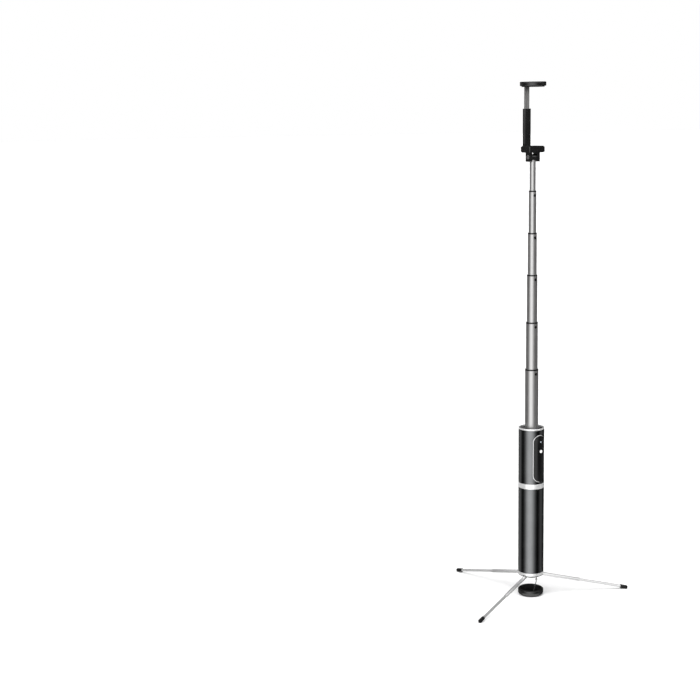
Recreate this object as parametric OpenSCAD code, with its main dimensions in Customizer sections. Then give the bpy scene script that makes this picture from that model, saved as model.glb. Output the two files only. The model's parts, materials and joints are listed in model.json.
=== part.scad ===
// Telescopic selfie stick: a two-sleeve handle with a shutter remote, a six-tube pole,
// a tilting phone clamp, a fold-out tripod and a tethered end cap.
// Millimetres, +Z up. The origin is on the floor, at the centre of the cap's flat bottom.
// The remote, the pole's dots and the front of the clamp face -Y.

/* [Handle] */
// Outer diameter of the handle
handle_d = 32.5; // [27:0.5:39]
// Length of the handle from its bottom rim to its top lip
handle_len = 193; // [160:1:235]
// Height of the handle's bottom rim above the floor
stand_h = 28; // [27:0.5:31]
// Wall of the two sleeves
sleeve_wall = 1.1; // [0.9:0.05:1.4]
// Height of the bright lip round the mouth
lip_h = 2; // [1.5:0.1:3]
// Length of the upper sleeve
upper_len = 69.4; // [66:0.2:84]
// Height of the bright ring between the sleeves
mid_ring_h = 6.6; // [4:0.2:8]
// Height of the bright trim round the bottom
trim_h = 3.8; // [2.8:0.1:5]

/* [Remote] */
// Width of the remote's panel
panel_w = 16; // [15:0.2:19.4]
// Height of the remote's panel
panel_h = 59.2; // [49:0.2:61]
// How far the panel's crown stands out of the sleeve
panel_crown = 2.3; // [1.9:0.1:2.8]
// Depth from the handle's surface to the remote's flat back
remote_depth = 3.6; // [3.4:0.1:4]
// Wall of the remote's cover
cover_wall = 1; // [0.8:0.1:1.1]
// Diameter of the shutter button
button_d = 7.8; // [6.4:0.2:9.4]
// Travel of the shutter button
button_travel = 0.4; // [0.3:0.05:0.5]

/* [Pole] */
// Diameter of the largest pole tube
pole_d = 16.6; // [13.8:0.2:20]
// Wall of the pole tubes
tube_wall = 0.5; // [0.4:0.05:0.6]
// Radial room between one tube and the next
tube_gap = 0.43; // [0.35:0.01:0.52]
// Length of the first tube that shows above the handle
base_reach = 74; // [61:0.5:89]
// Length that shows of the second and third tubes
lower_reach = 59.6; // [49:0.2:72]
// Length that shows of the fourth and fifth tubes
upper_reach = 52; // [43:0.5:63]
// Length that shows of the sixth tube
top_reach = 36.2; // [30:0.2:44]
// Height of the black collar on a tube
collar_h = 1.6; // [1.2:0.1:2.2]
// Diameter of the black lock button below a collar
dot_d = 3.7; // [3:0.1:4.4]

/* [Clamp] */
// Width between the jaws' faces
jaw_gap = 71; // [60:1:80]
// Smallest width that the jaws close to
jaw_gap_min = 46; // [44:1:50]
// Largest width that the jaws open to
jaw_gap_max = 86; // [82:1:88]
// Height of the lower jaw with its pad
jaw_h = 8; // [7:0.2:10]
// Diameter of the round upper jaw
disc_d = 32; // [30:0.2:38]
// Thickness of the round upper jaw with its pad
disc_t = 6.2; // [5.4:0.2:7.6]
// Width of the lower jaw
jaw_w = 24.6; // [20:0.2:25]
// Depth of the lower jaw from front to back
jaw_d = 17.6; // [14:0.2:18]
// Depth of the hinge's ears from front to back
ear_d = 7.8; // [7:0.1:9.4]
// Distance from the ears' flat ends to the tilt screw
ear_drop = 5.6; // [5.2:0.1:6.2]
// Thickness of one hinge ear
ear_t = 4.3; // [3.6:0.05:4.6]
// Diameter of the tilt screw
tilt_screw_d = 3; // [2.5:0.1:3.5]

/* [Tripod] */
// Distance from the pole's axis to the centre of a foot's tip
foot_reach = 126; // [105:1:152]
// Distance from the pole's axis to a leg's pivot
pivot_r = 9.4; // [9:0.1:9.8]
// Diameter of a leg's outer tube
leg_d = 4.2; // [3.5:0.1:4.3]
// Wall of a leg's outer tube
leg_wall = 0.45; // [0.35:0.05:0.55]
// Length of a leg's outer tube, from its pivot
leg_tube_len = 56; // [47:1:68]
// Diameter of a rubber foot
foot_d = 4.7; // [4.2:0.1:5.6]
// Length of a rubber foot
foot_len = 9.9; // [8:0.1:12]

/* [Cap] */
// Diameter of the end cap
cap_d = 32.3; // [31:0.1:38.8]
// Height of the end cap's outer wall
cap_h = 7.4; // [6.2:0.2:9]
// Diameter of the tether cord
cord_d = 1; // [0.8:0.1:1.1]

/* [Hidden] */
$fn = 64;

// Clearances: a pushed fit, a sliding fit, a loose fit, and the smallest cut past a face
snug = 0.02;
run = 0.05;
loose = 0.15;
eps = 0.01;

// Heights of the handle's pieces
handle_r = handle_d / 2;
bore_r = handle_r - sleeve_wall;
top_z = stand_h + handle_len;
lower_z = stand_h + trim_h;
upper_top_z = top_z - lip_h;
upper_z = upper_top_z - upper_len;
mid_z = upper_z - mid_ring_h;
spigot_h = 2;
spigot_t = sleeve_wall / 2;
ring_edge = 0.25;
lip_stop = 0.3;

// Remote, measured along -Y from the pole's axis
panel_z0 = upper_z + 3.4;
panel_z1 = panel_z0 + panel_h;
panel_r = panel_w / 2;
remote_back = handle_r - remote_depth;
crown_top = handle_r + panel_crown;
crown_edge = sqrt(handle_r * handle_r - panel_r * panel_r) + 0.3;
crown_rise = crown_top - crown_edge;
crown_r = (panel_r * panel_r + crown_rise * crown_rise) / (2 * crown_rise);
crown_y = crown_top - crown_r;
housing_floor = 0.8;
housing_wall = 0.9;
floor_y = remote_back + housing_floor;
board_t = 0.8;
board_w = panel_w - 4 * housing_wall - 1.4;
board_z0 = panel_z0 + 20;
board_z1 = panel_z1 - 5.5;
led_z = panel_z1 - 7.5;
led_d = 1.8;
button_z = panel_z1 - 19.7;
button_flange_t = 0.5;
button_flange_d = button_d + 1.2;
button_proud = 0.3;
button_gap = 0.1;
flange_y = crown_y + sqrt(pow(crown_r - cover_wall, 2) - pow(button_flange_d / 2, 2)) - loose;
button_back_y = flange_y - button_flange_t;
switch_w = 4.4;
stem_h = 0.5;
stem_r = 1.1;
switch_top_y = button_back_y - button_travel - 0.1;
dot_mark_d = 4;
dot_mark_t = 0.4;
cell_d = 10;
cell_t = 1.6;
cell_z = panel_z0 + 12;
clip_t = 0.3;
clip_w = 3;
clip_lap = 2;
clip_z = cell_z + cell_d / 2 + 0.5;

// Pole: tube 1 is the largest and tube 6 the smallest
reach = [base_reach, lower_reach, lower_reach, upper_reach, upper_reach, top_reach];
carrier_h = 14;
carrier_r = bore_r - 0.08;
carrier_flat = remote_back - 0.2;
carrier_top = upper_top_z - 0.05;
carrier_bottom = carrier_top - carrier_h;
carrier_edge = 0.6;
socket_z = carrier_bottom + 4;
flute_r = 3;
tail_len = 13;
bush_len = 5;
skirt_len = 7;
groove_w = 1.2;
groove_depth = 0.3;
key_w = 1;
key_h = 0.2;
dot_drop = 5.1;
dot_proud = 0.03;
head_shoulder = 0.8;
head_plug = 12;
function tube_r(k) = pole_d / 2 - (k - 1) * (tube_wall + tube_gap);
function tube_bore(k) = tube_r(k) - tube_wall;
function joint_z(k) = k == 0 ? top_z : joint_z(k - 1) + reach[k - 1];
function tube_z0(k) = k == 1 ? socket_z : joint_z(k - 1) - tail_len;
function tube_z1(k) = k == 6 ? joint_z(6) + head_rise : joint_z(k) - collar_h / 2;

// Clamp
clamp_z = joint_z(6);
pin_z = clamp_z + ear_drop;
tilt_room = 1.2;
jaw_z0 = pin_z + max(ear_drop, tube_r(6) + tilt_room);
pad_t = 1;
jaw_top = jaw_z0 + jaw_h;
clamp_r = bore_r - lip_stop - 0.1;
jaw_round = 1.2;
jaw_step = 0.8;
jaw_groove_x = 5.2;
jaw_groove_w = 1;
jaw_groove_depth = 0.5;
lug_w = 13;
ear_round = 0.8;
tongue_t = 2 * tube_r(6);
tongue_r = ear_d / 2 - 0.3;
head_rise = ear_drop - tongue_r;
ear_x0 = tongue_t / 2 + loose;
ear_x1 = ear_x0 + ear_t;
screw_head_r = 2.9;
screw_head_t = 1.5;
screw_sink = 1.3;
cross_len = 4;
cross_w = 0.7;
cross_depth = 0.8;
nut_r = 2.9;
spine_w = 10;
spine_d = 4.4;
spine_y1 = sqrt(clamp_r * clamp_r - pow(spine_w / 2, 2)) - 0.05;
spine_y0 = spine_y1 - spine_d;
spine_wall = 1;
spine_round = 0.9;
spine_z0 = jaw_z0 + 2;
spine_top = jaw_top + jaw_gap_min - 1;
channel_w = 7;
channel_d = spine_d - 2 * spine_wall;
channel_z0 = spine_z0 + 2;
window_w = 2.4;
window_z0 = channel_z0 + 5;
window_z1 = spine_top - 6;
leaf_t = 0.35;
leaf_w = 5;
leaf_len = 9;
leaf_top = spine_top - 3;
slider_w = channel_w - 0.2;
slider_y0 = spine_y0 + spine_wall + leaf_t + 0.1;
slider_y1 = spine_y1 - spine_wall - run;
slider_tail = 46;
slider_z0 = jaw_top + jaw_gap - slider_tail;
disc_z0 = jaw_top + jaw_gap;
disc_body_z0 = disc_z0 + pad_t;
disc_top = disc_z0 + disc_t;
disc_round = 1;
slider_sink = 2.4;
slider_top = disc_body_z0 + slider_sink;
pad_inset = 0.8;
pad_front = carrier_flat - 1;
pad_back = spine_y0 - 0.5;
pad_grooves = [-6, -3, 0, 3, 6];
pad_groove = 0.6;

// Tripod. The bearings are counted from +X, counter-clockwise from above.
leg_bearing = [333, 101, 201];
pivot_z = stand_h - 0.6;
leg_r = leg_d / 2;
leg_bore = leg_r - leg_wall;
rod_r = leg_bore - snug;
foot_r = foot_d / 2;
leg_slope = atan2(pivot_z - foot_r, foot_reach - pivot_r);
leg_len = norm([pivot_z - foot_r, foot_reach - pivot_r]);
knuckle_r = 2.6;
knuckle_w = 4.4;
knuckle_plug = 9;
leg_pin_r = 1;
leg_pin_len = 13;
rod_start = leg_tube_len - 7;
foot_start = leg_len + foot_r - foot_len;
slot_w = knuckle_w + 2 * loose;
slot_r0 = pivot_r - knuckle_r - 0.9;
slot_top = pivot_z + knuckle_r + 0.4;
notch_w = leg_d + 1;
notch_top = stand_h + 0.8;
hub_r = bore_r - snug;
hub_flange_z = stand_h - 0.8;
hub_flange_r = handle_r - 0.4;
hub_core_z = pivot_z - leg_pin_r - 1.3;
hub_core_r = pivot_r + 2.3;
hub_top = stand_h + 10;
hub_pocket_r = 5;
hub_pocket_z = slot_top + 2;

// Cap and its tether
cap_r = cap_d / 2;
cap_floor = 1.6;
cap_wall = 1.2;
cap_face_r = cap_r - 3;
cap_slope_h = 1.8;
cap_flutes = 40;
cap_flute_w = 1.2;
flute_depth = 0.25;
plug_wall = 1.1;
plug_top = cap_h + 0.8;
boss_r = 1.6;
boss_h = 0.8;
tether_hole_r = 0.9;
tether_sides = 8;
anchor_h = 2.6;
anchor_r = 1.6;
bead_r = 1.1;
bead_h = 2.4;
bead_z = stand_h - 7.8;
tether_x = 2;
tether_y = -8.7;
tether_end = [0.5, -5.1];
tether_points = [
    [2, -8.7, hub_top], [2, -8.7, 36], [2, -8.7, 34], [2, -8.7, 32], [2, -8.7, 30],
    [2, -8.7, 28], [2, -8.7, 26], [2, -8.7, 24], [2, -8.7, 22], [2, -8.7, 20],
    [1.9, -8.5, 18], [1.7, -8.1, 16], [1.5, -7.6, 14], [1.2, -7, 12], [1, -6.4, 10],
    [0.8, -5.9, 8], [0.6, -5.5, 6], [0.5, -5.2, 4.2], [0.5, -5.1, 2.4]
];

// A straight tube about Z
module pipe(r_out, r_in, z0, z1) {
    difference() {
        translate([0, 0, z0]) cylinder(r = r_out, h = z1 - z0);
        translate([0, 0, z0 - 1]) cylinder(r = r_in, h = z1 - z0 + 2);
    }
}

// A square with four round corners, centred
module rounded_rect(w, h, r) {
    square([w - 2 * r, h], center = true);
    square([w, h - 2 * r], center = true);
    for (x = [-1, 1], y = [-1, 1]) translate([x * (w / 2 - r), y * (h / 2 - r)]) circle(r = r);
}

// An upright stadium seen from the front, drawn out from y = -y1 to y = -y0
module stadium_block(w, z0, z1, y0, y1) {
    translate([0, -y0, 0]) rotate([90, 0, 0]) linear_extrude(y1 - y0) {
        translate([-w / 2, z0 + w / 2]) square([w, z1 - z0 - w]);
        for (z = [z0 + w / 2, z1 - w / 2]) translate([0, z]) circle(r = w / 2);
    }
}

// A rod along Y between two distances in front of the axis
module front_rod(r, z, y0, y1) {
    translate([0, -y0, z]) rotate([90, 0, 0]) cylinder(r = r, h = y1 - y0);
}

// A sleeve with a counterbore at each end for the spigots of its neighbours
module sleeve(z0, z1) {
    difference() {
        pipe(handle_r, bore_r, z0, z1);
        translate([0, 0, z0 - 1]) cylinder(r = bore_r + spigot_t, h = spigot_h + 1);
        translate([0, 0, z1 - spigot_h]) cylinder(r = bore_r + spigot_t, h = spigot_h + 1);
    }
}

// A bright ring with softened edges and spigots below (down) and above (up)
module trim_ring(z0, z1, inner_r, down, up) {
    rotate_extrude() polygon([
        [inner_r, z0], [inner_r, z1],
        [handle_r - ring_edge, z1], [handle_r, z1 - ring_edge],
        [handle_r, z0 + ring_edge], [handle_r - ring_edge, z0]
    ]);
    if (down > 0) pipe(bore_r + spigot_t, bore_r, z0 - down, z0 + eps);
    if (up > 0) pipe(bore_r + spigot_t, bore_r, z1 - eps, z1 + up);
}

module lower_sleeve() {
    color("#26272a") sleeve(lower_z, mid_z);
}

module mid_ring() {
    color("silver") difference() {
        trim_ring(mid_z, upper_z, bore_r, spigot_h, spigot_h);
        remote_window();
    }
}

// Opening in the front of the upper sleeve that the remote sits in
module remote_window() {
    stadium_block(panel_w + 2 * loose, panel_z0 - loose, panel_z1 + loose, 1, handle_r + 1);
}

module upper_sleeve() {
    color("#26272a") difference() {
        sleeve(upper_z, upper_top_z);
        remote_window();
    }
}

module top_lip() {
    color("silver") trim_ring(upper_top_z, top_z, bore_r - lip_stop, spigot_h, 0);
}

// The legs pass through three shallow notches in the bottom trim
module bottom_trim() {
    color("silver") difference() {
        trim_ring(stand_h, lower_z, bore_r, 0, spigot_h);
        for (b = leg_bearing) rotate([0, 0, b])
            translate([0, -notch_w / 2, stand_h - 1]) cube([handle_r + 1, notch_w, notch_top - stand_h + 1]);
    }
}

// The crowned outline that the remote's outer surface follows
module crown_bar(r) {
    translate([0, -crown_y, panel_z0 - 5]) cylinder(r = r, h = panel_h + 10);
}

module remote_housing() {
    color("#1b1b1d") difference() {
        intersection() {
            stadium_block(panel_w, panel_z0, panel_z1, remote_back, crown_top + 1);
            crown_bar(crown_r - cover_wall);
        }
        stadium_block(panel_w - 4 * housing_wall, panel_z0 + 2 * housing_wall,
            panel_z1 - 2 * housing_wall, floor_y, crown_top + 2);
    }
}

module remote_cover() {
    color("#1b1b1d") difference() {
        intersection() {
            stadium_block(panel_w, panel_z0, panel_z1, remote_back, crown_top + 1);
            crown_bar(crown_r);
        }
        crown_bar(crown_r - cover_wall);
        front_rod(button_d / 2 + button_gap, button_z, remote_back, crown_top + 2);
        front_rod(led_d / 2 + snug, led_z, remote_back, crown_top + 2);
    }
}

module circuit_board() {
    color("#1f5a36") translate([-board_w / 2, -floor_y - board_t, board_z0])
        cube([board_w, board_t, board_z1 - board_z0]);
}

module coin_cell() {
    color("silver") front_rod(cell_d / 2, cell_z, floor_y, floor_y + cell_t);
}

// A spring strip that presses on the cell, steps down past it and runs to the circuit board
module battery_clip() {
    color("gold") translate([-clip_w / 2, 0, 0]) {
        translate([0, -floor_y - cell_t - clip_t, cell_z - clip_lap])
            cube([clip_w, clip_t, clip_z + clip_t - cell_z + clip_lap]);
        translate([0, -floor_y - cell_t - clip_t, clip_z]) cube([clip_w, cell_t + clip_t, clip_t]);
        translate([0, -floor_y - clip_t, clip_z]) cube([clip_w, clip_t, board_z0 - clip_z]);
    }
}

module tact_switch() {
    color("#333333") {
        translate([-switch_w / 2, -switch_top_y + stem_h, button_z - switch_w / 2])
            cube([switch_w, switch_top_y - stem_h - floor_y - board_t, switch_w]);
        front_rod(stem_r, button_z, switch_top_y - stem_h - eps, switch_top_y);
    }
}

module led_lens() {
    color("#9fb6c8") front_rod(led_d / 2, led_z, floor_y + board_t, crown_top);
}

module shutter_button() {
    color("#141414") difference() {
        union() {
            front_rod(button_flange_d / 2, button_z, button_back_y, flange_y);
            front_rod(button_d / 2, button_z, flange_y - eps, crown_top + button_proud);
        }
        front_rod(dot_mark_d / 2, button_z, crown_top + button_proud - dot_mark_t, crown_top + 2);
    }
}

module button_dot() {
    color("white") front_rod(dot_mark_d / 2 - snug, button_z,
        crown_top + button_proud - dot_mark_t, crown_top + button_proud + run);
}

// Plug that holds the first tube and slides down the handle's bore. Its flat clears
// the remote and keeps it from turning, and its flutes clear the stowed legs.
module pole_carrier() {
    color("#1b1b1d") difference() {
        rotate_extrude() polygon([
            [0, carrier_bottom], [carrier_r - carrier_edge, carrier_bottom],
            [carrier_r, carrier_bottom + carrier_edge], [carrier_r, carrier_top - carrier_edge],
            [carrier_r - carrier_edge, carrier_top], [0, carrier_top]
        ]);
        translate([-handle_r, -carrier_flat - handle_r, carrier_bottom - 1])
            cube([2 * handle_r, handle_r, carrier_h + 2]);
        translate([0, 0, socket_z]) cylinder(r = tube_r(1), h = carrier_h);
        translate([0, 0, carrier_bottom - 1]) cylinder(r = tube_bore(1), h = carrier_h);
        for (b = leg_bearing) rotate([0, 0, b])
            translate([carrier_r - flute_r / 2, 0, carrier_bottom - 1])
                cylinder(r = flute_r, h = carrier_h + 2);
    }
}

// Cut along the back of tube k that the key of the collar below it runs in
module key_groove(k, z0, z1) {
    translate([-groove_w / 2, tube_r(k) - groove_depth, z0 - 1]) cube([groove_w, 1, z1 - z0 + 2]);
}

// One pole tube, with a key groove along its back and a hole for its lock button
module pole_tube(k) {
    color("#c4c6c8") difference() {
        pipe(tube_r(k), tube_bore(k), tube_z0(k), tube_z1(k));
        key_groove(k, tube_z0(k), tube_z1(k));
        if (k < 6) front_rod(dot_d / 2, joint_z(k) - dot_drop, 1, tube_r(k) + 1);
    }
}

// Black collar on top of tube k: a rim, a skirt inside the tube, the lock button that
// shows through the tube's hole, and a key that runs in the next tube's groove
module collar(k) {
    guide_r = tube_r(k + 1) + run;
    z_seat = tube_z1(k);
    color("#141414") {
        difference() {
            rotate_extrude() polygon([
                [guide_r, z_seat - skirt_len], [tube_bore(k), z_seat - skirt_len], [tube_bore(k), z_seat],
                [tube_r(k), z_seat], [tube_r(k), z_seat + collar_h - 0.2],
                [tube_r(k) - 0.2, z_seat + collar_h], [guide_r, z_seat + collar_h]
            ]);
            key_groove(k, z_seat, z_seat + collar_h);
        }
        difference() {
            intersection() {
                front_rod(dot_d / 2, joint_z(k) - dot_drop, 0, tube_r(k) + 1);
                translate([0, 0, z_seat - skirt_len]) cylinder(r = tube_r(k) + dot_proud, h = skirt_len);
            }
            translate([0, 0, z_seat - skirt_len - 1]) cylinder(r = guide_r, h = skirt_len + 2);
        }
        difference() {
            translate([-key_w / 2, tube_r(k + 1) - key_h, z_seat - skirt_len])
                cube([key_w, key_h + tube_gap, skirt_len + collar_h]);
            translate([0, 0, z_seat - skirt_len - 1]) cylinder(r = tube_r(k + 1) - key_h, h = skirt_len + 5);
        }
    }
}

// Friction bush round the bottom of tube k, which slides in the tube below it
module tail_bush(k) {
    color("#e6e6e2") pipe(tube_bore(k - 1) - run, tube_r(k), tube_z0(k), tube_z0(k) + bush_len);
}

// Hinge tongue on the sixth tube
module pole_head() {
    color("#141414") difference() {
        union() {
            translate([0, 0, tube_z1(6) - head_plug]) cylinder(r = tube_bore(6) - run, h = head_plug + run);
            translate([0, 0, tube_z1(6)]) cylinder(r = tube_r(6), h = head_shoulder);
            translate([-tongue_t / 2, -tongue_r, tube_z1(6) + head_shoulder / 2])
                cube([tongue_t, 2 * tongue_r, pin_z - tube_z1(6) - head_shoulder / 2]);
            translate([-tongue_t / 2, 0, pin_z]) rotate([0, 90, 0]) cylinder(r = tongue_r, h = tongue_t);
        }
        translate([-handle_r, 0, pin_z]) rotate([0, 90, 0])
            cylinder(r = tilt_screw_d / 2 + run, h = 2 * handle_r);
    }
}

// Outline of the lower jaw: a rounded block, with a lug at its back that holds the spine
module jaw_outline(inset) {
    intersection() {
        circle(r = clamp_r - inset);
        union() {
            rounded_rect(jaw_w - 2 * inset, jaw_d - 2 * inset, jaw_round);
            translate([-lug_w / 2 + inset, 0]) square([lug_w - 2 * inset, clamp_r]);
        }
    }
}

// One hinge ear below the jaw, with softened lower corners
module hinge_ear() {
    rotate([90, 0, 90]) linear_extrude(ear_t) {
        translate([0, (jaw_z0 - clamp_z) / 2]) rounded_rect(ear_d, jaw_z0 - clamp_z, ear_round);
        translate([-ear_d / 2, jaw_z0 - clamp_z - 2]) square([ear_d, 2.5]);
    }
}

module lower_jaw() {
    color("#141414") difference() {
        union() {
            translate([0, 0, jaw_z0 + jaw_step]) linear_extrude(jaw_h - pad_t - jaw_step) jaw_outline(0);
            translate([0, 0, jaw_z0]) linear_extrude(jaw_step) jaw_outline(jaw_step);
            for (x = [ear_x0, -ear_x1]) translate([x, 0, clamp_z]) hinge_ear();
        }
        translate([-handle_r, 0, pin_z]) rotate([0, 90, 0])
            cylinder(r = tilt_screw_d / 2 + snug, h = 2 * handle_r);
        translate([ear_x1 - screw_sink, 0, pin_z]) rotate([0, 90, 0])
            cylinder(r = screw_head_r + 0.1, h = screw_sink + 1);
        translate([-ear_x1 - 1, 0, pin_z]) rotate([0, 90, 0])
            cylinder(r = nut_r + 0.1, h = screw_sink + 1, $fn = 6);
        translate([-spine_w / 2 - run, spine_y0 - run, spine_z0])
            cube([spine_w + 2 * run, spine_d + 3, jaw_h]);
        for (x = [-jaw_groove_x, jaw_groove_x])
            translate([x - jaw_groove_w / 2, -jaw_d / 2 - 1, jaw_z0 - 1])
                cube([jaw_groove_w, 1 + jaw_groove_depth, jaw_h + 2]);
    }
}

// Rubber face of a jaw from its outline, with cross grooves on the side that grips
module jaw_pad(z0, groove_z) {
    difference() {
        translate([0, 0, z0]) linear_extrude(pad_t) children();
        for (y = pad_grooves) translate([-clamp_r, y - pad_groove / 2, groove_z])
            cube([2 * clamp_r, pad_groove, pad_groove]);
    }
}

module lower_pad() {
    color("#2a2a2c") jaw_pad(jaw_top - pad_t, jaw_top - pad_groove / 2)
        rounded_rect(jaw_w - 2 * pad_inset, jaw_d - 2 * pad_inset, jaw_round);
}

module upper_pad() {
    color("#2a2a2c") jaw_pad(disc_z0, disc_z0 - pad_groove / 2) intersection() {
        circle(r = clamp_r - pad_inset);
        translate([-clamp_r, -pad_front]) square([2 * clamp_r, pad_front + pad_back]);
    }
}

// Cross-head screw through both ears and the tongue
module tilt_screw() {
    color("#8c8f94") translate([0, 0, pin_z]) rotate([0, 90, 0]) difference() {
        union() {
            translate([0, 0, -ear_x1]) cylinder(r = tilt_screw_d / 2, h = 2 * ear_x1);
            translate([0, 0, ear_x1 - screw_sink]) cylinder(r = screw_head_r, h = screw_head_t);
        }
        for (turn = [45, 135]) rotate([0, 0, turn])
            translate([-cross_len / 2, -cross_w / 2, ear_x1 - screw_sink + screw_head_t - cross_depth])
                cube([cross_len, cross_w, 2]);
    }
}

module tilt_nut() {
    color("#8c8f94") translate([0, 0, pin_z]) rotate([0, 90, 0]) difference() {
        translate([0, 0, -ear_x1]) cylinder(r = nut_r, h = screw_sink, $fn = 6);
        translate([0, 0, -ear_x1 - 1]) cylinder(r = tilt_screw_d / 2 + snug, h = screw_sink + 2);
    }
}

// Fixed channel behind the phone
module clamp_spine() {
    color("#141414") difference() {
        translate([0, (spine_y0 + spine_y1) / 2, spine_z0]) linear_extrude(spine_top - spine_z0)
            rounded_rect(spine_w, spine_d, spine_round);
        translate([-channel_w / 2, spine_y0 + spine_wall, channel_z0])
            cube([channel_w, channel_d, spine_top]);
        translate([-window_w / 2, spine_y1 - spine_wall - 1, window_z0])
            cube([window_w, spine_wall + 2, window_z1 - window_z0]);
    }
}

// Leaf in the channel that keeps the slider where it is put
module friction_leaf() {
    color("#b9bcc0") translate([-leaf_w / 2, spine_y0 + spine_wall, leaf_top - leaf_len])
        cube([leaf_w, leaf_t, leaf_len]);
}

module clamp_slider() {
    color("#b9bcc0") translate([-slider_w / 2, slider_y0, slider_z0])
        cube([slider_w, slider_y1 - slider_y0, slider_top - slider_z0]);
}

module upper_jaw() {
    color("#141414") difference() {
        rotate_extrude() intersection() {
            translate([0, (disc_body_z0 + disc_top) / 2])
                rounded_rect(disc_d, disc_top - disc_body_z0, disc_round);
            translate([0, disc_z0]) square([disc_d, 2 * disc_t]);
        }
        translate([-slider_w / 2 - run, slider_y0 - run, disc_z0])
            cube([slider_w + 2 * run, slider_y1 - slider_y0 + 2 * run, slider_top - disc_z0]);
    }
}

// Hub pressed into the handle's bottom, with a slot for each leg
module tripod_hub() {
    color("#1b1b1d") difference() {
        union() {
            translate([0, 0, hub_flange_z]) cylinder(r = hub_flange_r, h = stand_h - hub_flange_z);
            translate([0, 0, stand_h]) cylinder(r = hub_r, h = hub_top - stand_h);
            translate([0, 0, hub_core_z]) cylinder(r = hub_core_r, h = hub_top - hub_core_z);
        }
        for (b = leg_bearing) rotate([0, 0, b]) {
            translate([slot_r0, -slot_w / 2, hub_core_z - 1])
                cube([handle_r + 1, slot_w, slot_top - hub_core_z + 1]);
            translate([pivot_r, 0, pivot_z]) rotate([90, 0, 0])
                cylinder(r = leg_pin_r, h = leg_pin_len, center = true);
        }
        translate([tether_x, tether_y, hub_core_z - 1]) cylinder(r = tether_hole_r, h = hub_top);
        translate([0, 0, hub_pocket_z]) cylinder(r = hub_pocket_r, h = hub_top);
    }
}

module hub_pins() {
    color("#b9bcc0") for (b = leg_bearing) rotate([0, 0, b])
        translate([pivot_r, 0, pivot_z]) rotate([90, 0, 0])
            cylinder(r = leg_pin_r, h = leg_pin_len, center = true);
}

// Puts a leg that is drawn along +X on its pivot, at its bearing and slope
module at_leg(i) {
    rotate([0, 0, leg_bearing[i - 1]]) translate([pivot_r, 0, pivot_z]) rotate([0, leg_slope, 0]) children();
}

module leg_knuckle(i) {
    color("#1b1b1d") at_leg(i) difference() {
        union() {
            rotate([90, 0, 0]) cylinder(r = knuckle_r, h = knuckle_w, center = true);
            rotate([0, 90, 0]) cylinder(r = leg_bore, h = knuckle_plug);
        }
        rotate([90, 0, 0]) cylinder(r = leg_pin_r + run, h = knuckle_w + 2, center = true);
    }
}

module leg_tube(i) {
    color("#c4c6c8") at_leg(i) difference() {
        rotate([0, 90, 0]) pipe(leg_r, leg_bore, knuckle_r - 0.3, leg_tube_len);
        rotate([90, 0, 0]) cylinder(r = knuckle_r, h = 3 * knuckle_w, center = true);
    }
}

module leg_rod(i) {
    color("#c4c6c8") at_leg(i) rotate([0, 90, 0]) translate([0, 0, rod_start])
        cylinder(r = rod_r, h = leg_len - rod_start);
}

module foot(i) {
    color("#141414") at_leg(i) rotate([0, 90, 0]) difference() {
        union() {
            translate([0, 0, foot_start]) cylinder(r = foot_r, h = leg_len - foot_start);
            translate([0, 0, leg_len]) sphere(r = foot_r);
        }
        translate([0, 0, foot_start - 1]) cylinder(r = rod_r, h = leg_len - foot_start + 1);
    }
}

// Cap shell: a flat face, a sloping edge and a fluted grip
module cap_shell() {
    color("#141414") difference() {
        intersection() {
            rotate_extrude() polygon([
                [0, 0], [cap_face_r, 0], [cap_r - 0.5, cap_slope_h], [cap_r, cap_slope_h + 0.8],
                [cap_r, cap_h - 0.3], [cap_r - 0.3, cap_h], [0, cap_h]
            ]);
            translate([0, 0, -1]) linear_extrude(cap_h + 2) difference() {
                circle(r = cap_r + 1);
                difference() {
                    circle(r = cap_r + 2);
                    circle(r = cap_r - flute_depth);
                    for (n = [0:cap_flutes - 1]) rotate(n * 360 / cap_flutes)
                        translate([cap_r - 1, -cap_flute_w / 2]) square([3, cap_flute_w]);
                }
            }
        }
        translate([0, 0, cap_floor]) cylinder(r = cap_r - cap_wall, h = cap_h);
    }
    color("#141414") translate([tether_end[0], tether_end[1], cap_floor - eps])
        cylinder(r = boss_r, h = boss_h + eps);
}

// Ring inside the cap that plugs the handle's bottom when the cap is closed
module cap_plug() {
    color("#2a2a2c") pipe(cap_r - cap_wall, cap_r - cap_wall - plug_wall, cap_floor, plug_top);
}

module tether_anchor() {
    color("#b9bcc0") translate([tether_x, tether_y, hub_top]) cylinder(r = anchor_r, h = anchor_h);
}

// Tether: a round cord swept along its points. Each ring lies square to the cord.
function unit(v) = v / norm(v);
function last(list) = len(list) - 1;
function tether_dir(i) = i == 0 || i == last(tether_points) ? [0, 0, -1] :
    unit(tether_points[i + 1] - tether_points[i - 1]);
function tether_ring(i) =
    let (along = tether_dir(i), side = unit(cross(along, [0, 1, 0])), up = cross(side, along))
    [for (n = [0:tether_sides - 1]) tether_points[i]
        + cord_d / 2 * (cos(n * 360 / tether_sides) * side + sin(n * 360 / tether_sides) * up)];

module tether() {
    rings = [for (i = [0:last(tether_points)]) tether_ring(i)];
    sides = [for (i = [0:last(tether_points) - 1], n = [0:tether_sides - 1])
        let (a = i * tether_sides, b = a + tether_sides, m = (n + 1) % tether_sides)
        [a + n, a + m, b + m, b + n]];
    ends = [
        [for (n = [tether_sides - 1:-1:0]) n],
        [for (n = [0:tether_sides - 1]) last(tether_points) * tether_sides + n]
    ];
    color("#1d1d1f") polyhedron(points = [for (ring = rings) each ring], faces = concat(sides, ends));
}

module tether_bead() {
    color("#55585c") translate([tether_x, tether_y, 0])
        pipe(bead_r, cord_d / 2 - 0.04, bead_z, bead_z + bead_h);
}

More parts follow.
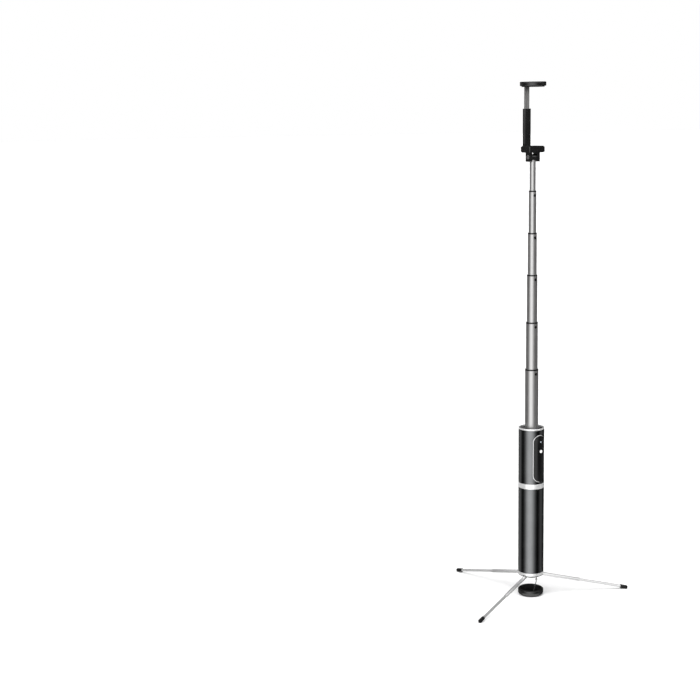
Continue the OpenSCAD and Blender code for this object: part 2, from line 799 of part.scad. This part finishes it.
lower_sleeve();
mid_ring();
upper_sleeve();
top_lip();
bottom_trim();
remote_housing();
remote_cover();
circuit_board();
coin_cell();
battery_clip();
tact_switch();
led_lens();
shutter_button();
button_dot();
pole_carrier();
pole_tube(1);  // pole_tube_1
pole_tube(2);  // pole_tube_2
pole_tube(3);  // pole_tube_3
pole_tube(4);  // pole_tube_4
pole_tube(5);  // pole_tube_5
pole_tube(6);  // pole_tube_6
collar(1);  // collar_1
collar(2);  // collar_2
collar(3);  // collar_3
collar(4);  // collar_4
collar(5);  // collar_5
tail_bush(2);  // tail_bush_2
tail_bush(3);  // tail_bush_3
tail_bush(4);  // tail_bush_4
tail_bush(5);  // tail_bush_5
tail_bush(6);  // tail_bush_6
pole_head();
lower_jaw();
lower_pad();
tilt_screw();
tilt_nut();
clamp_spine();
friction_leaf();
clamp_slider();
upper_jaw();
upper_pad();
tripod_hub();
hub_pins();
leg_knuckle(1);  // leg_knuckle_1
leg_knuckle(2);  // leg_knuckle_2
leg_knuckle(3);  // leg_knuckle_3
leg_tube(1);  // leg_tube_1
leg_tube(2);  // leg_tube_2
leg_tube(3);  // leg_tube_3
leg_rod(1);  // leg_rod_1
leg_rod(2);  // leg_rod_2
leg_rod(3);  // leg_rod_3
foot(1);  // foot_1
foot(2);  // foot_2
foot(3);  // foot_3
cap_shell();
cap_plug();
tether_anchor();
tether();
tether_bead();
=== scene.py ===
import json
import math

import bmesh
import bpy
from mathutils import Matrix, Vector


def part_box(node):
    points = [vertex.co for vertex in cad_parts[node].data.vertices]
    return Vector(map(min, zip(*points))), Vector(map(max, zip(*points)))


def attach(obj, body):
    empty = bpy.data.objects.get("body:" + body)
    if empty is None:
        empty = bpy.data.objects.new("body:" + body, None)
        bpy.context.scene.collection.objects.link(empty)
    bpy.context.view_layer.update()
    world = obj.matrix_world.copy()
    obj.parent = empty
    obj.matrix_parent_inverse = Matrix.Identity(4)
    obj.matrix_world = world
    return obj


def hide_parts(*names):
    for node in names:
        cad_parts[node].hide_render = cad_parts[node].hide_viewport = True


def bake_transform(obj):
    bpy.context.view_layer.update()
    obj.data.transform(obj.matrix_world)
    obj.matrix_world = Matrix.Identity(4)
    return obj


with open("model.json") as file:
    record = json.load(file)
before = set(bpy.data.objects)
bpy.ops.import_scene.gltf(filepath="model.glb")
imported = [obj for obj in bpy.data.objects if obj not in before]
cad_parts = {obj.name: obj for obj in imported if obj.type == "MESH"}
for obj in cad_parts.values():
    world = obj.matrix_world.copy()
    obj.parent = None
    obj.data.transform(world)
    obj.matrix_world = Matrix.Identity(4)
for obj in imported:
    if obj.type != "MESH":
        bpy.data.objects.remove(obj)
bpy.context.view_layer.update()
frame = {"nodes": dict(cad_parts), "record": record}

MM = 0.001
SCENE = bpy.context.scene
NODES = frame["nodes"]
LEGS = (1, 2, 3)
TUBES = (1, 2, 3, 4, 5, 6)


# ---------------------------------------------------------------- camera

VIEW_AZIMUTH = math.radians(-40)
VIEW_DISTANCE = 1.7464
VIEW_HEIGHT = 0.6229
VIEW_PITCH = math.radians(9.8)
VIEW_TURN = math.radians(7.509)
VIEW_ROLL = math.radians(-1.008)
LENS = 72
SENSOR = 36


def make_camera():
    """The camera stands to the front left, as high as the clamp, and looks down a little past the object."""
    data = bpy.data.cameras.new("camera")
    data.lens = LENS
    data.sensor_width = SENSOR
    data.clip_start = 0.05
    data.clip_end = 100
    camera = bpy.data.objects.new("camera", data)
    SCENE.collection.objects.link(camera)
    heading = VIEW_AZIMUTH + VIEW_TURN
    ahead = Vector((-math.sin(heading), math.cos(heading), 0))
    right = Vector((math.cos(heading), math.sin(heading), 0))
    up = Vector((0, 0, 1))
    look = ahead * math.cos(VIEW_PITCH) - up * math.sin(VIEW_PITCH)
    top = up * math.cos(VIEW_PITCH) + ahead * math.sin(VIEW_PITCH)
    side = right * math.cos(VIEW_ROLL) + top * math.sin(VIEW_ROLL)
    top = top * math.cos(VIEW_ROLL) - right * math.sin(VIEW_ROLL)
    turn = Matrix((side, top, -look)).transposed().to_4x4()
    place = Vector((
        math.sin(VIEW_AZIMUTH) * VIEW_DISTANCE, -math.cos(VIEW_AZIMUTH) * VIEW_DISTANCE, VIEW_HEIGHT,
    ))
    camera.matrix_world = Matrix.Translation(place) @ turn
    SCENE.camera = camera


# ---------------------------------------------------------------- mesh helpers

def mesh_object(name, mesh, smooth=True):
    """A linked object with this bmesh's faces, all turned outwards."""
    bmesh.ops.recalc_face_normals(mesh, faces=mesh.faces)
    data = bpy.data.meshes.new(name)
    mesh.to_mesh(data)
    mesh.free()
    for face in data.polygons:
        face.use_smooth = smooth
    piece = bpy.data.objects.new(name, data)
    SCENE.collection.objects.link(piece)
    return piece


def loft(name, rings, closed=False):
    """A closed skin through equal rings of points; the two ends are capped unless it closes on itself."""
    mesh = bmesh.new()
    rows = [[mesh.verts.new(point) for point in ring] for ring in rings]
    count = len(rings[0])
    pairs = list(zip(rows, rows[1:]))
    if closed:
        pairs.append((rows[-1], rows[0]))
    for low, high in pairs:
        for n in range(count):
            m = (n + 1) % count
            mesh.faces.new((low[n], low[m], high[m], high[n]))
    if not closed:
        mesh.faces.new(rows[0][::-1])
        mesh.faces.new(rows[-1])
    return mesh_object(name, mesh)


def smooth_path(points, steps):
    """Catmull-Rom points through a given route, steps to a stretch."""
    ends = [2 * points[0] - points[1], *points, 2 * points[-1] - points[-2]]
    path = []
    for a, b, c, d in zip(ends, ends[1:], ends[2:], ends[3:]):
        for n in range(steps):
            t = n / steps
            path.append(0.5 * (
                2 * b + (c - a) * t + (2 * a - 5 * b + 4 * c - d) * t * t
                + (3 * b - a - 3 * c + d) * t ** 3
            ))
    path.append(points[-1].copy())
    return path


# ---------------------------------------------------------------- tether

TETHER_ROUTE = [
    (2, -8.7, 38), (2, -8.7, 36), (2, -8.7, 34), (2, -8.7, 32), (2, -8.7, 30),
    (2, -8.7, 28), (2, -8.7, 26), (2, -8.7, 24), (2, -8.7, 22), (2, -8.7, 20),
    (1.9, -8.5, 18), (1.7, -8.1, 16), (1.5, -7.6, 14), (1.2, -7, 12), (1, -6.4, 10),
    (0.8, -5.9, 8), (0.6, -5.5, 6), (0.5, -5.2, 4.2), (0.5, -5.1, 2.4),
]
CORD_D = 1.0 * MM
CORD_STEPS = 12
# The cord keeps to the handle in the upper part of the route, and to the cap in the lower part.
CORD_STRANDS = 3
CORD_SIDES = 24
CORD_LAY = 2.4 * MM
CORD_TWIST = 2 * math.pi / CORD_LAY
STRAND_DEPTH = 0.07


def make_tether():
    """Twisted three-strand cord from the hub down to the cap."""
    route = [Vector(point) * MM for point in TETHER_ROUTE]
    path = smooth_path(route, CORD_STEPS)
    rings = []
    along = 0.0
    for n, point in enumerate(path):
        before = path[max(n - 1, 0)]
        after = path[min(n + 1, len(path) - 1)]
        forward = (after - before).normalized()
        side = forward.cross(Vector((0, 1, 0))).normalized()
        up = side.cross(forward)
        along += (point - before).length
        ring = []
        for k in range(CORD_SIDES):
            angle = 2 * math.pi * k / CORD_SIDES
            groove = 1 - STRAND_DEPTH * (1 - abs(math.cos(CORD_STRANDS / 2 * (angle - CORD_TWIST * along))))
            ring.append(point + (side * math.cos(angle) + up * math.sin(angle)) * groove * CORD_D / 2)
        rings.append(ring)
    tether = loft("tether_cord", rings)
    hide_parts("tether")
    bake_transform(tether)
    return tether


make_camera()
tether = make_tether()


# ---------------------------------------------------------------- materials

class Look:
    """A Principled material and short ways to drive its sockets with procedural noise."""

    def __init__(self, name, **constants):
        self.material = bpy.data.materials.new(name)
        self.material.use_nodes = True
        self.tree = self.material.node_tree
        self.shader = self.tree.nodes["Principled BSDF"]
        self.coords = self.tree.nodes.new("ShaderNodeTexCoord").outputs["Object"]
        for socket, value in constants.items():
            self.shader.inputs[socket.replace("_", " ")].default_value = value

    def link(self, output, socket):
        self.tree.links.new(output, socket)

    def stretched(self, scale):
        mapping = self.tree.nodes.new("ShaderNodeMapping")
        mapping.inputs["Scale"].default_value = scale
        self.link(self.coords, mapping.inputs["Vector"])
        return mapping.outputs["Vector"]

    def noise(self, scale, detail=3.0, roughness=0.55, distortion=0.0):
        """Noise whose cells are 1/scale metres across; scale is one number or three."""
        node = self.tree.nodes.new("ShaderNodeTexNoise")
        if not hasattr(scale, "__len__"):
            scale = (scale, scale, scale)
        self.link(self.stretched(scale), node.inputs["Vector"])
        node.inputs["Scale"].default_value = 1.0
        node.inputs["Detail"].default_value = detail
        node.inputs["Roughness"].default_value = roughness
        node.inputs["Distortion"].default_value = distortion
        return node.outputs["Fac"]

    def span(self, source, low, high, start=0.3, end=0.7):
        """Maps the middle of a noise to low..high."""
        node = self.tree.nodes.new("ShaderNodeMapRange")
        node.inputs["From Min"].default_value = start
        node.inputs["From Max"].default_value = end
        node.inputs["To Min"].default_value = low
        node.inputs["To Max"].default_value = high
        self.link(source, node.inputs["Value"])
        return node.outputs["Result"]

    def total(self, first, second, kind="ADD"):
        node = self.tree.nodes.new("ShaderNodeMath")
        node.operation = kind
        self.link(first, node.inputs[0])
        self.link(second, node.inputs[1])
        return node.outputs[0]

    def tint(self, source, *stops):
        """Colours along a noise: pairs of position and (r, g, b)."""
        node = self.tree.nodes.new("ShaderNodeValToRGB")
        ramp = node.color_ramp
        while len(ramp.elements) < len(stops):
            ramp.elements.new(0.5)
        for element, (place, colour) in zip(ramp.elements, stops):
            element.position = place
            element.color = (*colour, 1)
        self.link(source, node.inputs["Fac"])
        return node.outputs["Color"]

    def colour(self, source):
        self.link(source, self.shader.inputs["Base Color"])

    def rough(self, source):
        self.link(source, self.shader.inputs["Roughness"])

    def bump(self, height, depth, strength=1.0):
        """Relief from a noise; depth is its full height in metres."""
        node = self.tree.nodes.new("ShaderNodeBump")
        node.inputs["Strength"].default_value = strength
        node.inputs["Distance"].default_value = depth
        self.link(height, node.inputs["Height"])
        self.link(node.outputs["Normal"], self.shader.inputs["Normal"])


def grey(value, warm=0.0):
    """A near-neutral colour, a little warm (positive) or cool (negative)."""
    return (value * (1 + warm), value, value * (1 - warm))


def anodised():
    """Black anodised aluminium: a fine blasted grain, faint drawing lines and handling haze."""
    look = Look("black_anodised", Metallic=1.0)
    haze = look.noise(45, detail=4)
    grain = look.noise(5200, detail=2)
    lines = look.noise((3800, 3800, 22), detail=2)
    look.colour(look.tint(haze, (0.3, grey(0.215, -0.02)), (0.7, grey(0.25, -0.02))))
    look.rough(look.total(look.span(haze, 0.12, 0.17), look.span(lines, 0.0, 0.04)))
    look.bump(look.total(grain, lines), 0.0000035)
    return look.material


def bright_aluminium():
    """Diamond-cut rings: bright, with fine turning lines round the axis."""
    look = Look("bright_aluminium", Metallic=0.62)
    lines = look.noise((40, 40, 14000), detail=2)
    haze = look.noise(120)
    look.colour(look.tint(haze, (0.3, grey(0.90)), (0.7, grey(0.97))))
    look.rough(look.span(haze, 0.26, 0.34))
    look.bump(lines, 0.000004)
    return look.material


def drawn_steel():
    """Pole tubes: satin steel drawn lengthwise, with long faint streaks and rubbed haze."""
    look = Look("drawn_steel", Metallic=1.0)
    streaks = look.noise((2600, 2600, 9), detail=4)
    haze = look.noise(70, detail=4)
    look.colour(look.tint(streaks, (0.25, grey(0.60, 0.008)), (0.75, grey(0.71, 0.008))))
    look.rough(look.total(look.span(streaks, 0.32, 0.40), look.span(haze, 0.0, 0.04)))
    look.bump(streaks, 0.000005)
    return look.material


def leg_chrome():
    """Leg tubes: brighter plating with light polishing marks."""
    look = Look("leg_chrome", Metallic=0.7)
    haze = look.noise(150, detail=5)
    marks = look.noise((1800, 1800, 260), detail=3)
    look.colour(look.tint(haze, (0.3, grey(0.64)), (0.7, grey(0.72))))
    look.rough(look.total(look.span(haze, 0.07, 0.12), look.span(marks, 0.0, 0.03)))
    look.bump(marks, 0.000003)
    return look.material


def machined(name, value, rough_low, rough_high):
    """Small plain metal parts: zinc and steel with fine random tool marks."""
    look = Look(name, Metallic=1.0)
    marks = look.noise(1400, detail=5)
    patches = look.noise(260)
    look.colour(look.tint(patches, (0.3, grey(value * 0.86)), (0.7, grey(value))))
    look.rough(look.span(marks, rough_low, rough_high))
    look.bump(marks, 0.000006)
    return look.material


def moulded(name, value, rough_low, rough_high, grain=2600, depth=0.000012, **constants):
    """Moulded plastic or rubber: spark-eroded grain, a little uneven in gloss and colour."""
    look = Look(name, **constants)
    texture = look.noise(grain, detail=3)
    patches = look.noise(90, detail=4)
    look.colour(look.tint(patches, (0.3, grey(value * 0.85)), (0.7, grey(value * 1.15))))
    look.rough(look.total(look.span(patches, rough_low, rough_high), look.span(texture, 0.0, 0.06)))
    look.bump(texture, depth)
    return look.material


def piano_black():
    """Remote cover and button: polished black plastic with faint wipe marks."""
    look = Look("piano_black", Specular_IOR_Level=0.35)
    wipes = look.noise((220, 220, 60), detail=5, distortion=0.6)
    ripple = look.noise(420, detail=1)
    look.colour(look.tint(wipes, (0.3, grey(0.004)), (0.7, grey(0.007))))
    look.rough(look.span(wipes, 0.14, 0.26))
    look.bump(ripple, 0.000008)
    return look.material


def white_print():
    """Painted mark: off-white with fine specks."""
    look = Look("white_print")
    specks = look.noise(5200, detail=2)
    look.colour(look.tint(specks, (0.3, grey(0.72, 0.01)), (0.6, grey(0.86, 0.01))))
    look.rough(look.span(specks, 0.35, 0.5))
    look.bump(specks, 0.000006)
    return look.material


def light_guide():
    """Clear plastic light guide, slightly milky."""
    look = Look("light_guide", Transmission_Weight=0.35, IOR=1.49)
    cloud = look.noise(900, detail=2)
    look.colour(look.tint(cloud, (0.3, (0.62, 0.72, 0.82)), (0.7, (0.80, 0.87, 0.93))))
    look.rough(look.span(cloud, 0.12, 0.25))
    return look.material


def circuit():
    """Green solder mask with lighter copper tracks under it."""
    look = Look("circuit", Coat_Weight=0.5, Coat_Roughness=0.15)
    brick = look.tree.nodes.new("ShaderNodeTexBrick")
    look.link(look.stretched((1, 1, 1)), brick.inputs["Vector"])
    brick.inputs["Scale"].default_value = 420
    brick.inputs["Mortar Size"].default_value = 0.06
    look.colour(look.tint(
        brick.outputs["Fac"], (0.0, (0.012, 0.085, 0.035)), (1.0, (0.05, 0.23, 0.09)),
    ))
    look.rough(look.span(look.noise(1500), 0.3, 0.45))
    look.bump(brick.outputs["Fac"], 0.00002)
    return look.material


def brass():
    """Contact spring: pale gold plating."""
    look = Look("brass", Metallic=1.0)
    marks = look.noise((900, 900, 120), detail=3)
    look.colour(look.tint(marks, (0.3, (0.72, 0.52, 0.22)), (0.7, (0.86, 0.66, 0.32))))
    look.rough(look.span(marks, 0.22, 0.34))
    look.bump(marks, 0.000004)
    return look.material


def twisted_cord():
    """Polyester cord: thin bright fibres that run with the twist."""
    look = Look("twisted_cord", Sheen_Weight=0.4, Sheen_Roughness=0.4)
    fibres = look.noise((9000, 9000, 1400), detail=3)
    look.colour(look.tint(fibres, (0.35, grey(0.006)), (0.7, grey(0.035))))
    look.rough(look.span(fibres, 0.6, 0.8))
    look.bump(fibres, 0.00003)
    return look.material


FINISHES = {
    "black_sleeve": anodised(),
    "bright_trim": bright_aluminium(),
    "pole_steel": drawn_steel(),
    "leg_steel": leg_chrome(),
    "black_plastic": moulded("black_plastic", 0.003, 0.17, 0.24, Specular_IOR_Level=0.9),
    "collar_plastic": moulded("collar_plastic", 0.003, 0.40, 0.50, Specular_IOR_Level=0.3),
    "remote_gloss": piano_black(),
    "remote_shell": moulded("remote_shell", 0.008, 0.45, 0.55, Specular_IOR_Level=0.3),
    "white_mark": white_print(),
    "light_pipe": light_guide(),
    "board": circuit(),
    "cell_steel": machined("cell_steel", 0.78, 0.20, 0.32),
    "contact_brass": brass(),
    "switch_black": moulded("switch_black", 0.03, 0.35, 0.45),
    "bush_plastic": moulded("bush_plastic", 0.74, 0.40, 0.52),
    "jaw_rubber": moulded("jaw_rubber", 0.012, 0.62, 0.78, 1500, 0.00003, Specular_IOR_Level=0.25),
    "foot_rubber": moulded("foot_rubber", 0.003, 0.48, 0.62, 1800, 0.00002, Specular_IOR_Level=0.3),
    "screw_steel": machined("screw_steel", 0.62, 0.24, 0.38),
    "slider_steel": drawn_steel(),
    "cap_plastic": moulded("cap_plastic", 0.004, 0.16, 0.22, Specular_IOR_Level=1.0),
    "cap_ring": moulded("cap_ring", 0.007, 0.42, 0.54, Specular_IOR_Level=0.3),
    "cord": twisted_cord(),
    "bead_metal": machined("bead_metal", 0.5, 0.18, 0.30),
}


def paint(piece, slot):
    """Gives every material slot of a piece one finish."""
    data = piece.data
    if not data.materials:
        data.materials.append(FINISHES[slot])
    for n in range(len(data.materials)):
        data.materials[n] = FINISHES[slot]


# The finish of a node is its slot's, and the anchor is plated as dark as the bead.
SLOT_OF = {part["node"]: part["material_slot"] for part in frame["record"]["subparts"]}
SLOT_OF["tether_anchor"] = "bead_metal"

for node, piece in NODES.items():
    paint(piece, SLOT_OF[node])
paint(tether, "cord")


# ---------------------------------------------------------------- added painted highlight

# Sizes of the painted highlight, a thin bright ring round the remote's edge.
HIGHLIGHT_W = 0.8 * MM
HIGHLIGHT_PROUD = 0.15 * MM
HIGHLIGHT_SINK = 0.3 * MM
HIGHLIGHT_GAP = 0.04 * MM
HIGHLIGHT_EDGE = 0.06 * MM
HIGHLIGHT_STEPS = 24


def stadium(half_width, low, high):
    """Points round an upright stadium in (x, z), counter-clockwise."""
    points = []
    for centre, start in ((high - half_width, 0), (low + half_width, math.pi)):
        for n in range(HIGHLIGHT_STEPS + 1):
            angle = start + math.pi * n / HIGHLIGHT_STEPS
            points.append((half_width * math.cos(angle), centre + half_width * math.sin(angle)))
    return points


def make_remote_edge_highlight():
    """Painted highlight: a thin bright ring standing in for the light caught on the remote's edge, laid on
    the round sleeve.
    """
    low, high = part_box("remote_housing")
    sleeve_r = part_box("upper_sleeve")[1][0]
    half = high[0]
    inner = stadium(half + HIGHLIGHT_GAP, low[2] - HIGHLIGHT_GAP, high[2] + HIGHLIGHT_GAP)
    outer = stadium(half + HIGHLIGHT_W, low[2] - HIGHLIGHT_W, high[2] + HIGHLIGHT_W)

    def on_sleeve(point, lift):
        reach = sleeve_r + lift
        return Vector((point[0], -math.sqrt(reach * reach - point[0] * point[0]), point[1]))

    rings = []
    for near, far in zip(inner, outer):
        rings.append([
            on_sleeve(near, -HIGHLIGHT_SINK), on_sleeve(near, HIGHLIGHT_PROUD),
            on_sleeve(far, HIGHLIGHT_EDGE), on_sleeve(far, -HIGHLIGHT_SINK),
        ])
    edge_highlight = loft("remote_edge_highlight", rings, closed=True)
    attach(edge_highlight, "handle")
    # The ring takes the bright trim finish, which paints the highlight on the remote's edge.
    paint(edge_highlight, "bright_trim")


# ---------------------------------------------------------------- softened edges

# How far each node's sharp edges are rounded, in millimetres.
EDGE_ROUND = {
    "upper_jaw": 0.35, "lower_jaw": 0.4, "clamp_spine": 0.3, "clamp_slider": 0.25,
    "lower_pad": 0.25, "upper_pad": 0.25, "remote_cover": 0.3, "shutter_button": 0.2,
    "cap_shell": 0.2, "cap_plug": 0.2, "pole_head": 0.3, "tilt_screw": 0.2, "tilt_nut": 0.2,
    "tripod_hub": 0.2, "pole_carrier": 0.2, "top_lip": 0.15, "tether_bead": 0.25,
    "tether_anchor": 0.2,
}
EDGE_ROUND.update({f"leg_tube_{n}": 0.08 for n in LEGS})
EDGE_ROUND.update({f"leg_knuckle_{n}": 0.3 for n in LEGS})
EDGE_ROUND.update({f"foot_{n}": 0.3 for n in LEGS})
EDGE_ROUND.update({f"collar_{n}": 0.12 for n in TUBES[:-1]})
WELD_REACH = 0.002 * MM
EDGE_SEGMENTS = 3
SHARP_ANGLE = math.radians(38)


def soften(piece, radius):
    """Welds the node's faces and rounds its sharp edges, so that they catch the light."""
    weld = piece.modifiers.new("weld", "WELD")
    weld.merge_threshold = WELD_REACH
    bevel = piece.modifiers.new("edges", "BEVEL")
    bevel.width = radius * MM
    bevel.segments = EDGE_SEGMENTS
    bevel.limit_method = "ANGLE"
    bevel.angle_limit = SHARP_ANGLE
    bevel.use_clamp_overlap = True
    bevel.harden_normals = False


for node, radius in EDGE_ROUND.items():
    soften(NODES[node], radius)
make_remote_edge_highlight()


# ---------------------------------------------------------------- studio

# Brightness round the studio, by degrees from +X; the camera stands near -130.
STUDIO_WALLS = (
    (-180, 0.28), (-168, 0.62), (-155, 0.95), (-140, 1.0), (-125, 0.88), (-112, 0.58), (-100, 0.26),
    (-88, 0.06), (-75, 0.0), (-60, 0.0), (-48, 0.06), (-30, 0.14), (-15, 0.10), (-5, 0.0), (10, 0.0),
    (28, 0.12), (50, 0.20), (72, 0.15), (90, 0.08), (105, 0.22), (120, 0.18), (135, 0.02), (150, 0.0),
    (165, 0.03), (180, 0.28),
)
STUDIO_STRENGTH = 1.5
# The share of the walls that gives way, by height, and what replaces them, by nearness to the camera.
WALLS_END = ((-1, 1.0), (-0.62, 1.0), (-0.46, 0.0), (0.08, 0.0), (0.26, 1.0), (1, 1.0))
OVERHEAD = ((-1, 0.0), (-0.3, 0.05), (0.1, 0.9), (1, 0.9))
TOWARDS_CAMERA = (math.sin(VIEW_AZIMUTH), -math.cos(VIEW_AZIMUTH), 0)
# What the camera sees behind the object.
FIELD = 1.0
SUN_ENERGY = 2.4
SUN_WIDTH = math.radians(70)
SUN_TILT = (math.radians(16), math.radians(-18), 0)
FLOOR_RADIUS = 30
FLOOR_SIDES = 96
FLOOR_DROP = 0.0001


def grey_ramp(tree, source, stops, low, high):
    """Grey along (place, value) stops, with the source's low to high spread over them."""
    span = tree.nodes.new("ShaderNodeMapRange")
    span.inputs["From Min"].default_value = low
    span.inputs["From Max"].default_value = high
    tree.links.new(source, span.inputs["Value"])
    node = tree.nodes.new("ShaderNodeValToRGB")
    elements = node.color_ramp.elements
    first, last = stops[0][0], stops[-1][0]
    for place, _ in stops[1:-1]:
        elements.new((place - first) / (last - first))
    for element, (_, value) in zip(elements, stops):
        element.color = (value, value, value, 1)
    tree.links.new(span.outputs["Result"], node.inputs["Fac"])
    return node


def room_colour(tree):
    """The walls by bearing, which give way above and below to a light on the camera's side."""
    nodes, link = tree.nodes, tree.links.new
    direction = nodes.new("ShaderNodeTexCoord").outputs["Generated"]
    split = nodes.new("ShaderNodeSeparateXYZ")
    link(direction, split.inputs["Vector"])
    bearing = nodes.new("ShaderNodeMath")
    bearing.operation = "ARCTAN2"
    link(split.outputs["Y"], bearing.inputs[0])
    link(split.outputs["X"], bearing.inputs[1])
    walls = grey_ramp(tree, bearing.outputs[0], STUDIO_WALLS, -math.pi, math.pi)
    walls.color_ramp.interpolation = "B_SPLINE"
    nearness = nodes.new("ShaderNodeVectorMath")
    nearness.operation = "DOT_PRODUCT"
    nearness.inputs[1].default_value = TOWARDS_CAMERA
    link(direction, nearness.inputs[0])
    share = grey_ramp(tree, split.outputs["Z"], WALLS_END, -1, 1)
    overhead = grey_ramp(tree, nearness.outputs["Value"], OVERHEAD, -1, 1)
    mix = nodes.new("ShaderNodeMix")
    mix.data_type = "RGBA"
    link(share.outputs["Color"], mix.inputs["Factor"])
    link(walls.outputs["Color"], mix.inputs["A"])
    link(overhead.outputs["Color"], mix.inputs["B"])
    return mix.outputs["Result"]


def make_world():
    """A soft studio of lit and dark walls, and a plain white field for the camera."""
    world = bpy.data.worlds.new("studio")
    SCENE.world = world
    world.use_nodes = True
    tree = world.node_tree
    nodes, link = tree.nodes, tree.links.new
    nodes.clear()
    room = nodes.new("ShaderNodeBackground")
    room.inputs["Strength"].default_value = STUDIO_STRENGTH
    link(room_colour(tree), room.inputs["Color"])
    field = nodes.new("ShaderNodeBackground")
    field.inputs["Color"].default_value = (FIELD, FIELD, FIELD, 1)
    seen = nodes.new("ShaderNodeLightPath").outputs["Is Camera Ray"]
    choose = nodes.new("ShaderNodeMixShader")
    link(seen, choose.inputs["Fac"])
    link(room.outputs["Background"], choose.inputs[1])
    link(field.outputs["Background"], choose.inputs[2])
    link(choose.outputs["Shader"], nodes.new("ShaderNodeOutputWorld").inputs["Surface"])


def make_sun():
    """One wide overhead lamp that keeps the floor evenly pale."""
    data = bpy.data.lights.new("overhead", "SUN")
    data.energy = SUN_ENERGY
    data.angle = SUN_WIDTH
    lamp = bpy.data.objects.new("overhead", data)
    lamp.rotation_euler = SUN_TILT
    lamp.visible_glossy = False
    SCENE.collection.objects.link(lamp)


def make_floor():
    """A wide pale floor with a very faint unevenness."""
    bpy.ops.mesh.primitive_circle_add(
        vertices=FLOOR_SIDES, radius=FLOOR_RADIUS, fill_type="NGON", location=(0, 0, -FLOOR_DROP),
    )
    floor = bpy.context.object
    floor.name = "floor"
    look = Look("pale_floor")
    haze = look.noise(1.5)
    look.colour(look.tint(haze, (0.3, grey(0.90)), (0.7, grey(0.92))))
    look.rough(look.span(haze, 0.85, 0.95))
    floor.data.materials.append(look.material)
    floor.visible_glossy = False


make_world()
make_sun()
make_floor()
SCENE.view_settings.view_transform = "Standard"
